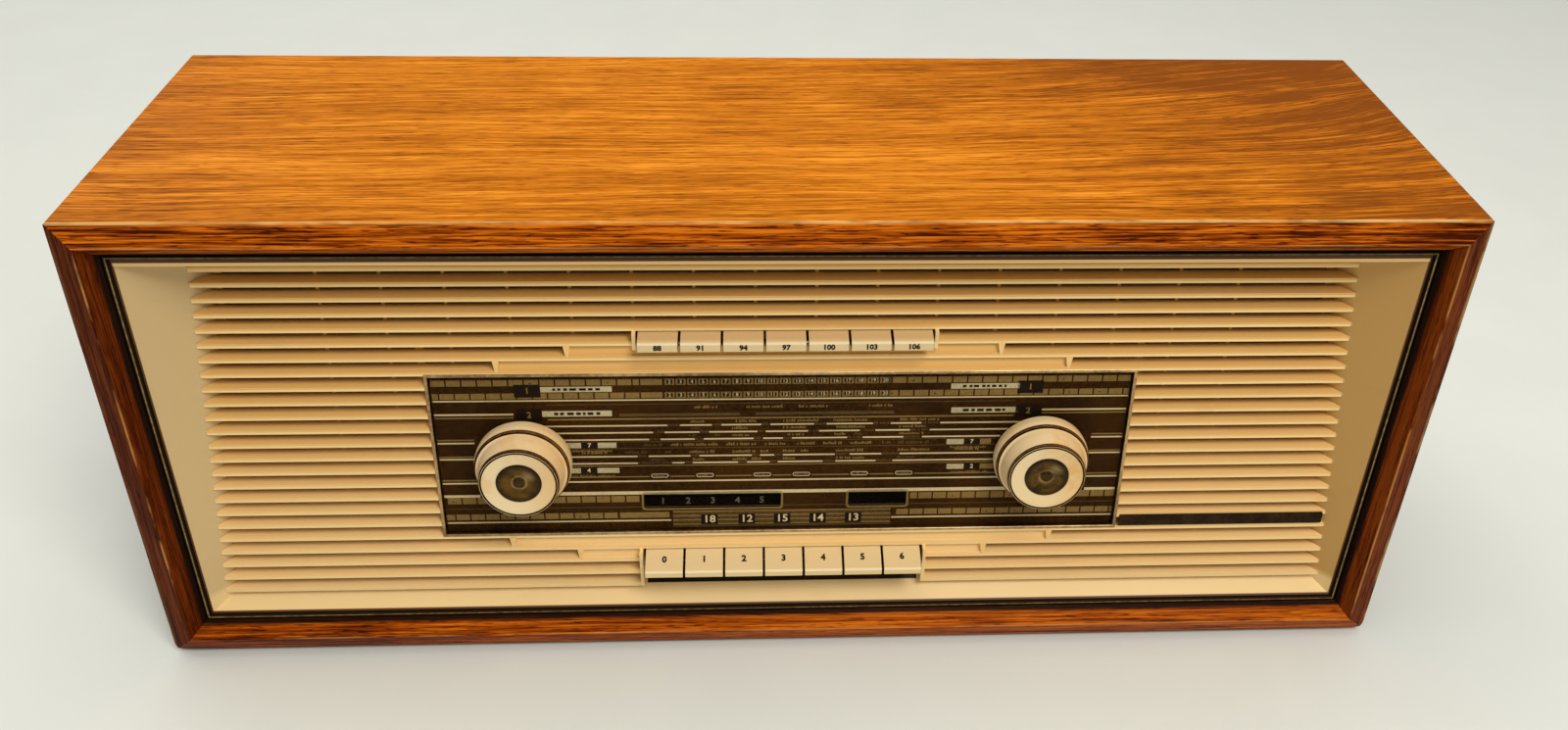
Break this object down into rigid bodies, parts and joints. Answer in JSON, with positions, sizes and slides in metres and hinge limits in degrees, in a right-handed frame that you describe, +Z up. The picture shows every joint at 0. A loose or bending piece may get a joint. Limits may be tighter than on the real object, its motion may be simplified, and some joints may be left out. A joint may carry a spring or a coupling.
{
  "type": "table radio",
  "caption": "Wooden table radio with a louvred cream front, glass dial, two rows of keys, double knobs and valve chassis behind a vented rear cover.",
  "frame": {"origin": "middle of the footprint, on the surface that the feet rest on", "axes": "+X to the right of someone facing the dial, +Y away from them into the radio, +Z up"},
  "size_m": [0.65, 0.185, 0.269],
  "materials": {
    "top_veneer": "satin lacquered walnut veneer, worn light along the arris",
    "side_veneer": "satin lacquered walnut veneer",
    "pine": "raw softwood",
    "foot_felt": "dark soft rubber",
    "brass_trim": "dull drawn brass",
    "dark_trim": "dark brown, matt",
    "cream_plastic": "cream, yellowed, soft gloss",
    "cloth": "dark open weave",
    "fibreboard": "dark stained board",
    "dial_brass": "brushed and lacquered",
    "dial_glass": "back-printed, dark",
    "steel": "zinc plated",
    "key_plastic": "ivory, soft gloss",
    "knob_plastic": "cream, soft gloss",
    "bronze_cap": "dark bronze, spun",
    "bakelite": "brown bakelite",
    "aluminium": "drawn, dull",
    "valve_glass": "clear",
    "laminations": "dark varnished",
    "basket": "grey paint",
    "cone_paper": "dark pressed paper",
    "ferrite": "dark grey, matt",
    "lamp_glass": "clear",
    "hardboard": "brown pressed board",
    "cord": "waxed twine",
    "pointer_red": "red paint"
  },
  "bodies": {
    "cabinet": {"cabinet_top": "top_veneer", "cabinet_bottom": "side_veneer", "cabinet_left_side": "side_veneer", "cabinet_right_side": "side_veneer", "glue_blocks": "pine", "feet": "foot_felt", "trim_bead": "brass_trim", "trim_liner": "dark_trim", "front_surround": "cream_plastic", "louvre_grille": "cream_plastic", "speaker_cloth": "cloth", "baffle_board": "fibreboard", "dial_rim": "dial_brass", "dial_glass": "dial_glass", "dial_plate": "steel", "dark_strip": "dark_trim", "key_frames": "steel", "key_springs": "steel", "control_pot": "bakelite", "tuning_capacitor": "aluminium", "pointer_rails": "steel", "dial_cords": "cord", "chassis": "steel", "valves": "valve_glass", "transformers": "laminations", "loudspeakers": "basket", "speaker_cones": "cone_paper", "screening_cans": "aluminium", "ferrite_aerial": "ferrite", "dial_lamps": "lamp_glass", "back_cover": "hardboard", "screws": "steel", "rear_sockets": "bakelite"},
    "tone_ring_body": {"tone_ring": "knob_plastic"},
    "volume_knob_body": {"volume_spindle": "steel", "volume_knob": "knob_plastic", "volume_cap": "bronze_cap"},
    "am_ring_body": {"am_ring": "knob_plastic"},
    "fm_knob_body": {"fm_spindle": "steel", "fm_knob": "knob_plastic", "fm_cap": "bronze_cap"},
    "am_pointer_body": {"am_pointer": "pointer_red"},
    "fm_pointer_body": {"fm_pointer": "pointer_red"},
    "rotor_body": {"capacitor_rotor": "aluminium"},
    "am_pulley_body": {"am_pulley": "bakelite"},
    "fm_pulley_body": {"fm_pulley": "bakelite"},
    "station_key_1_body": {"station_key_1": "key_plastic"},
    "station_key_2_body": {"station_key_2": "key_plastic"},
    "station_key_3_body": {"station_key_3": "key_plastic"},
    "station_key_4_body": {"station_key_4": "key_plastic"},
    "station_key_5_body": {"station_key_5": "key_plastic"},
    "station_key_6_body": {"station_key_6": "key_plastic"},
    "station_key_7_body": {"station_key_7": "key_plastic"},
    "band_key_1_body": {"band_key_1": "key_plastic"},
    "band_key_2_body": {"band_key_2": "key_plastic"},
    "band_key_3_body": {"band_key_3": "key_plastic"},
    "band_key_4_body": {"band_key_4": "key_plastic"},
    "band_key_5_body": {"band_key_5": "key_plastic"},
    "band_key_6_body": {"band_key_6": "key_plastic"},
    "band_key_7_body": {"band_key_7": "key_plastic"}
  },
  "joints": [
    {"name": "tone_turn", "type": "hinge", "parent": "cabinet", "child": "tone_ring_body", "pos_m": [-0.133, -0.07076, 0.11674], "axis": [0, -0.9968, 0.0795], "range_deg": [-135, 135]},
    {"name": "volume_turn", "type": "hinge", "parent": "cabinet", "child": "volume_knob_body", "pos_m": [-0.133, -0.07076, 0.11674], "axis": [0, -0.9968, 0.0795], "range_deg": [-150, 150]},
    {"name": "am_tuning_turn", "type": "hinge", "parent": "cabinet", "child": "am_ring_body", "pos_m": [0.133, -0.07076, 0.11674], "axis": [0, -0.9968, 0.0795], "range_deg": [-572.9, 572.9]},
    {"name": "fm_tuning_turn", "type": "hinge", "parent": "cabinet", "child": "fm_knob_body", "pos_m": [0.133, -0.07076, 0.11674], "axis": [0, -0.9968, 0.0795], "range_deg": [-343.7, 343.7]},
    {"name": "am_pointer_slide", "type": "slide", "parent": "cabinet", "child": "am_pointer_body", "axis": [1, 0, 0], "range_m": [-0.1, 0.1]},
    {"name": "fm_pointer_slide", "type": "slide", "parent": "cabinet", "child": "fm_pointer_body", "axis": [1, 0, 0], "range_m": [-0.06, 0.06]},
    {"name": "capacitor_turn", "type": "hinge", "parent": "cabinet", "child": "rotor_body", "pos_m": [0.055, -0.07076, 0.11674], "axis": [0, -0.9968, 0.0795], "range_deg": [-90, 90]},
    {"name": "am_pulley_turn", "type": "hinge", "parent": "cabinet", "child": "am_pulley_body", "pos_m": [-0.15, -0.07491, 0.06474], "axis": [0, -0.9968, 0.0795], "range_deg": [-1637, 1637]},
    {"name": "fm_pulley_turn", "type": "hinge", "parent": "cabinet", "child": "fm_pulley_body", "pos_m": [-0.15, -0.0663, 0.17273], "axis": [0, -0.9968, 0.0795], "range_deg": [-983, 983]},
    {"name": "station_key_1_press", "type": "hinge", "parent": "cabinet", "child": "station_key_1_body", "pos_m": [-0.0627, -0.02526, 0.18419], "axis": [1, 0, 0], "range_deg": [0, 3.5], "stiffness_Nm_per_rad": 0.6},
    {"name": "station_key_2_press", "type": "hinge", "parent": "cabinet", "child": "station_key_2_body", "pos_m": [-0.0418, -0.02526, 0.18419], "axis": [1, 0, 0], "range_deg": [0, 3.5], "stiffness_Nm_per_rad": 0.6},
    {"name": "station_key_3_press", "type": "hinge", "parent": "cabinet", "child": "station_key_3_body", "pos_m": [-0.0209, -0.02526, 0.18419], "axis": [1, 0, 0], "range_deg": [0, 3.5], "stiffness_Nm_per_rad": 0.6},
    {"name": "station_key_4_press", "type": "hinge", "parent": "cabinet", "child": "station_key_4_body", "pos_m": [0, -0.02526, 0.18419], "axis": [1, 0, 0], "range_deg": [0, 3.5], "stiffness_Nm_per_rad": 0.6},
    {"name": "station_key_5_press", "type": "hinge", "parent": "cabinet", "child": "station_key_5_body", "pos_m": [0.0209, -0.02526, 0.18419], "axis": [1, 0, 0], "range_deg": [0, 3.5], "stiffness_Nm_per_rad": 0.6},
    {"name": "station_key_6_press", "type": "hinge", "parent": "cabinet", "child": "station_key_6_body", "pos_m": [0.0418, -0.02526, 0.18419], "axis": [1, 0, 0], "range_deg": [0, 3.5], "stiffness_Nm_per_rad": 0.6},
    {"name": "station_key_7_press", "type": "hinge", "parent": "cabinet", "child": "station_key_7_body", "pos_m": [0.0627, -0.02526, 0.18419], "axis": [1, 0, 0], "range_deg": [0, 3.5], "stiffness_Nm_per_rad": 0.6},
    {"name": "band_key_1_press", "type": "hinge", "parent": "cabinet", "child": "band_key_1_body", "pos_m": [-0.0633, -0.03592, 0.05056], "axis": [1, 0, 0], "range_deg": [0, 5], "stiffness_Nm_per_rad": 0.6},
    {"name": "band_key_2_press", "type": "hinge", "parent": "cabinet", "child": "band_key_2_body", "pos_m": [-0.0422, -0.03592, 0.05056], "axis": [1, 0, 0], "range_deg": [0, 5], "stiffness_Nm_per_rad": 0.6},
    {"name": "band_key_3_press", "type": "hinge", "parent": "cabinet", "child": "band_key_3_body", "pos_m": [-0.0211, -0.03592, 0.05056], "axis": [1, 0, 0], "range_deg": [0, 5], "stiffness_Nm_per_rad": 0.6},
    {"name": "band_key_4_press", "type": "hinge", "parent": "cabinet", "child": "band_key_4_body", "pos_m": [0, -0.03592, 0.05056], "axis": [1, 0, 0], "range_deg": [0, 5], "stiffness_Nm_per_rad": 0.6},
    {"name": "band_key_5_press", "type": "hinge", "parent": "cabinet", "child": "band_key_5_body", "pos_m": [0.0211, -0.03592, 0.05056], "axis": [1, 0, 0], "range_deg": [0, 5], "stiffness_Nm_per_rad": 0.6},
    {"name": "band_key_6_press", "type": "hinge", "parent": "cabinet", "child": "band_key_6_body", "pos_m": [0.0422, -0.03592, 0.05056], "axis": [1, 0, 0], "range_deg": [0, 5], "stiffness_Nm_per_rad": 0.6},
    {"name": "band_key_7_press", "type": "hinge", "parent": "cabinet", "child": "band_key_7_body", "pos_m": [0.0633, -0.03592, 0.05056], "axis": [1, 0, 0], "range_deg": [0, 5], "stiffness_Nm_per_rad": 0.6}
  ],
  "couplings": [
    {"joint": "am_pointer_slide", "follows": "am_tuning_turn", "m_per_rad": -0.01},
    {"joint": "fm_pointer_slide", "follows": "fm_tuning_turn", "m_per_rad": -0.01},
    {"joint": "capacitor_turn", "follows": "am_tuning_turn", "ratio": 0.15708},
    {"joint": "am_pulley_turn", "follows": "am_tuning_turn", "ratio": 2.8571},
    {"joint": "fm_pulley_turn", "follows": "fm_tuning_turn", "ratio": 2.8571}
  ]
}
